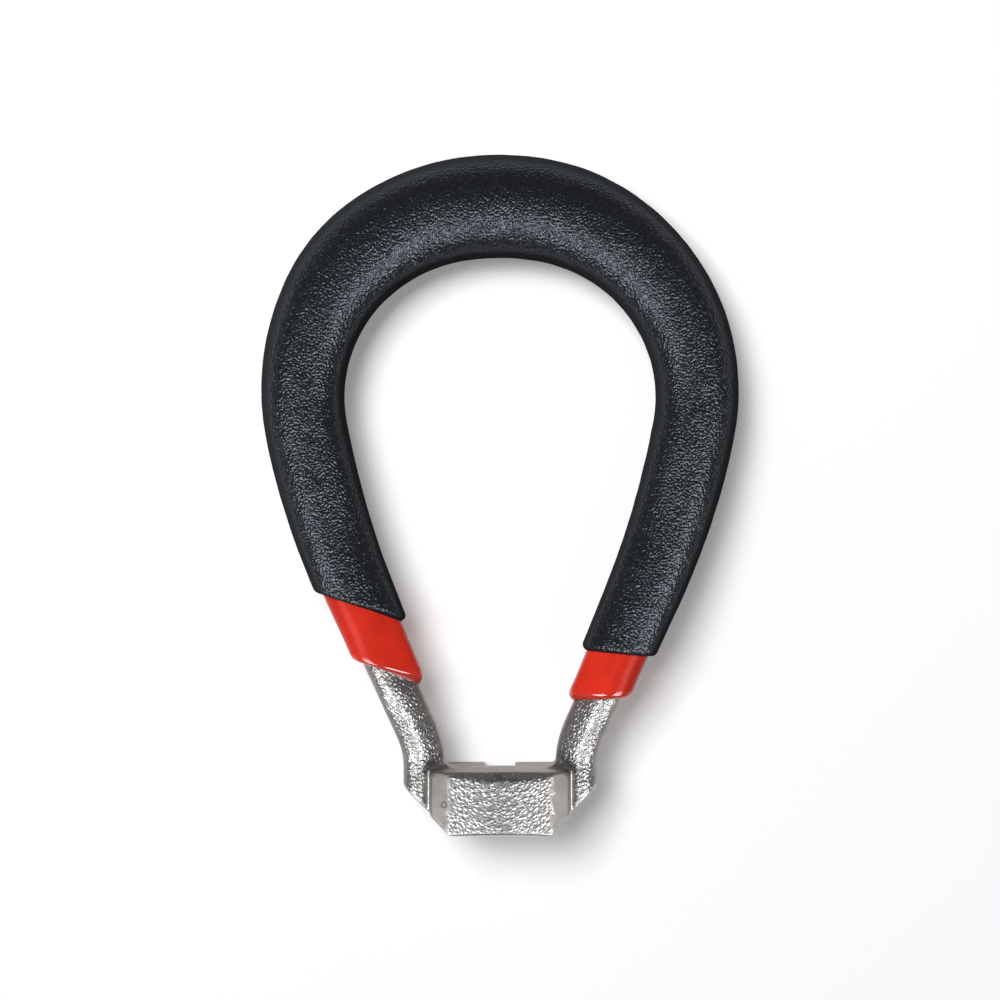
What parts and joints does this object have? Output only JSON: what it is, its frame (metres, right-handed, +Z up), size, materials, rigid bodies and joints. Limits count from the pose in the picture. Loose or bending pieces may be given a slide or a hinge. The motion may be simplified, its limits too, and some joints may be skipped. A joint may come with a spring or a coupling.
{
  "type": "spoke wrench",
  "caption": "Bicycle spoke wrench: a teardrop loop handle dipped in grained vinyl over a glossy undercoat, with a cast head slotted to grip a spoke nipple.",
  "frame": {"origin": "middle of the surface the tool lies on, under the centre of its box", "axes": "+Z up from the surface it lies on, +Y from the head to the crown of the loop, +X to the right when seen from the pad's side"},
  "size_m": [0.0532, 0.076, 0.0132],
  "materials": {
    "nickel_plated_steel": "nickel plate over a pebbled as-cast face, smoother on the ground sides",
    "glossy_vinyl": "smooth glossy dip",
    "grained_vinyl": "fine grained dip"
  },
  "bodies": {
    "root": {"wrench_body": "nickel_plated_steel", "base_coat": "glossy_vinyl", "over_coat": "grained_vinyl"}
  },
  "joints": []
}
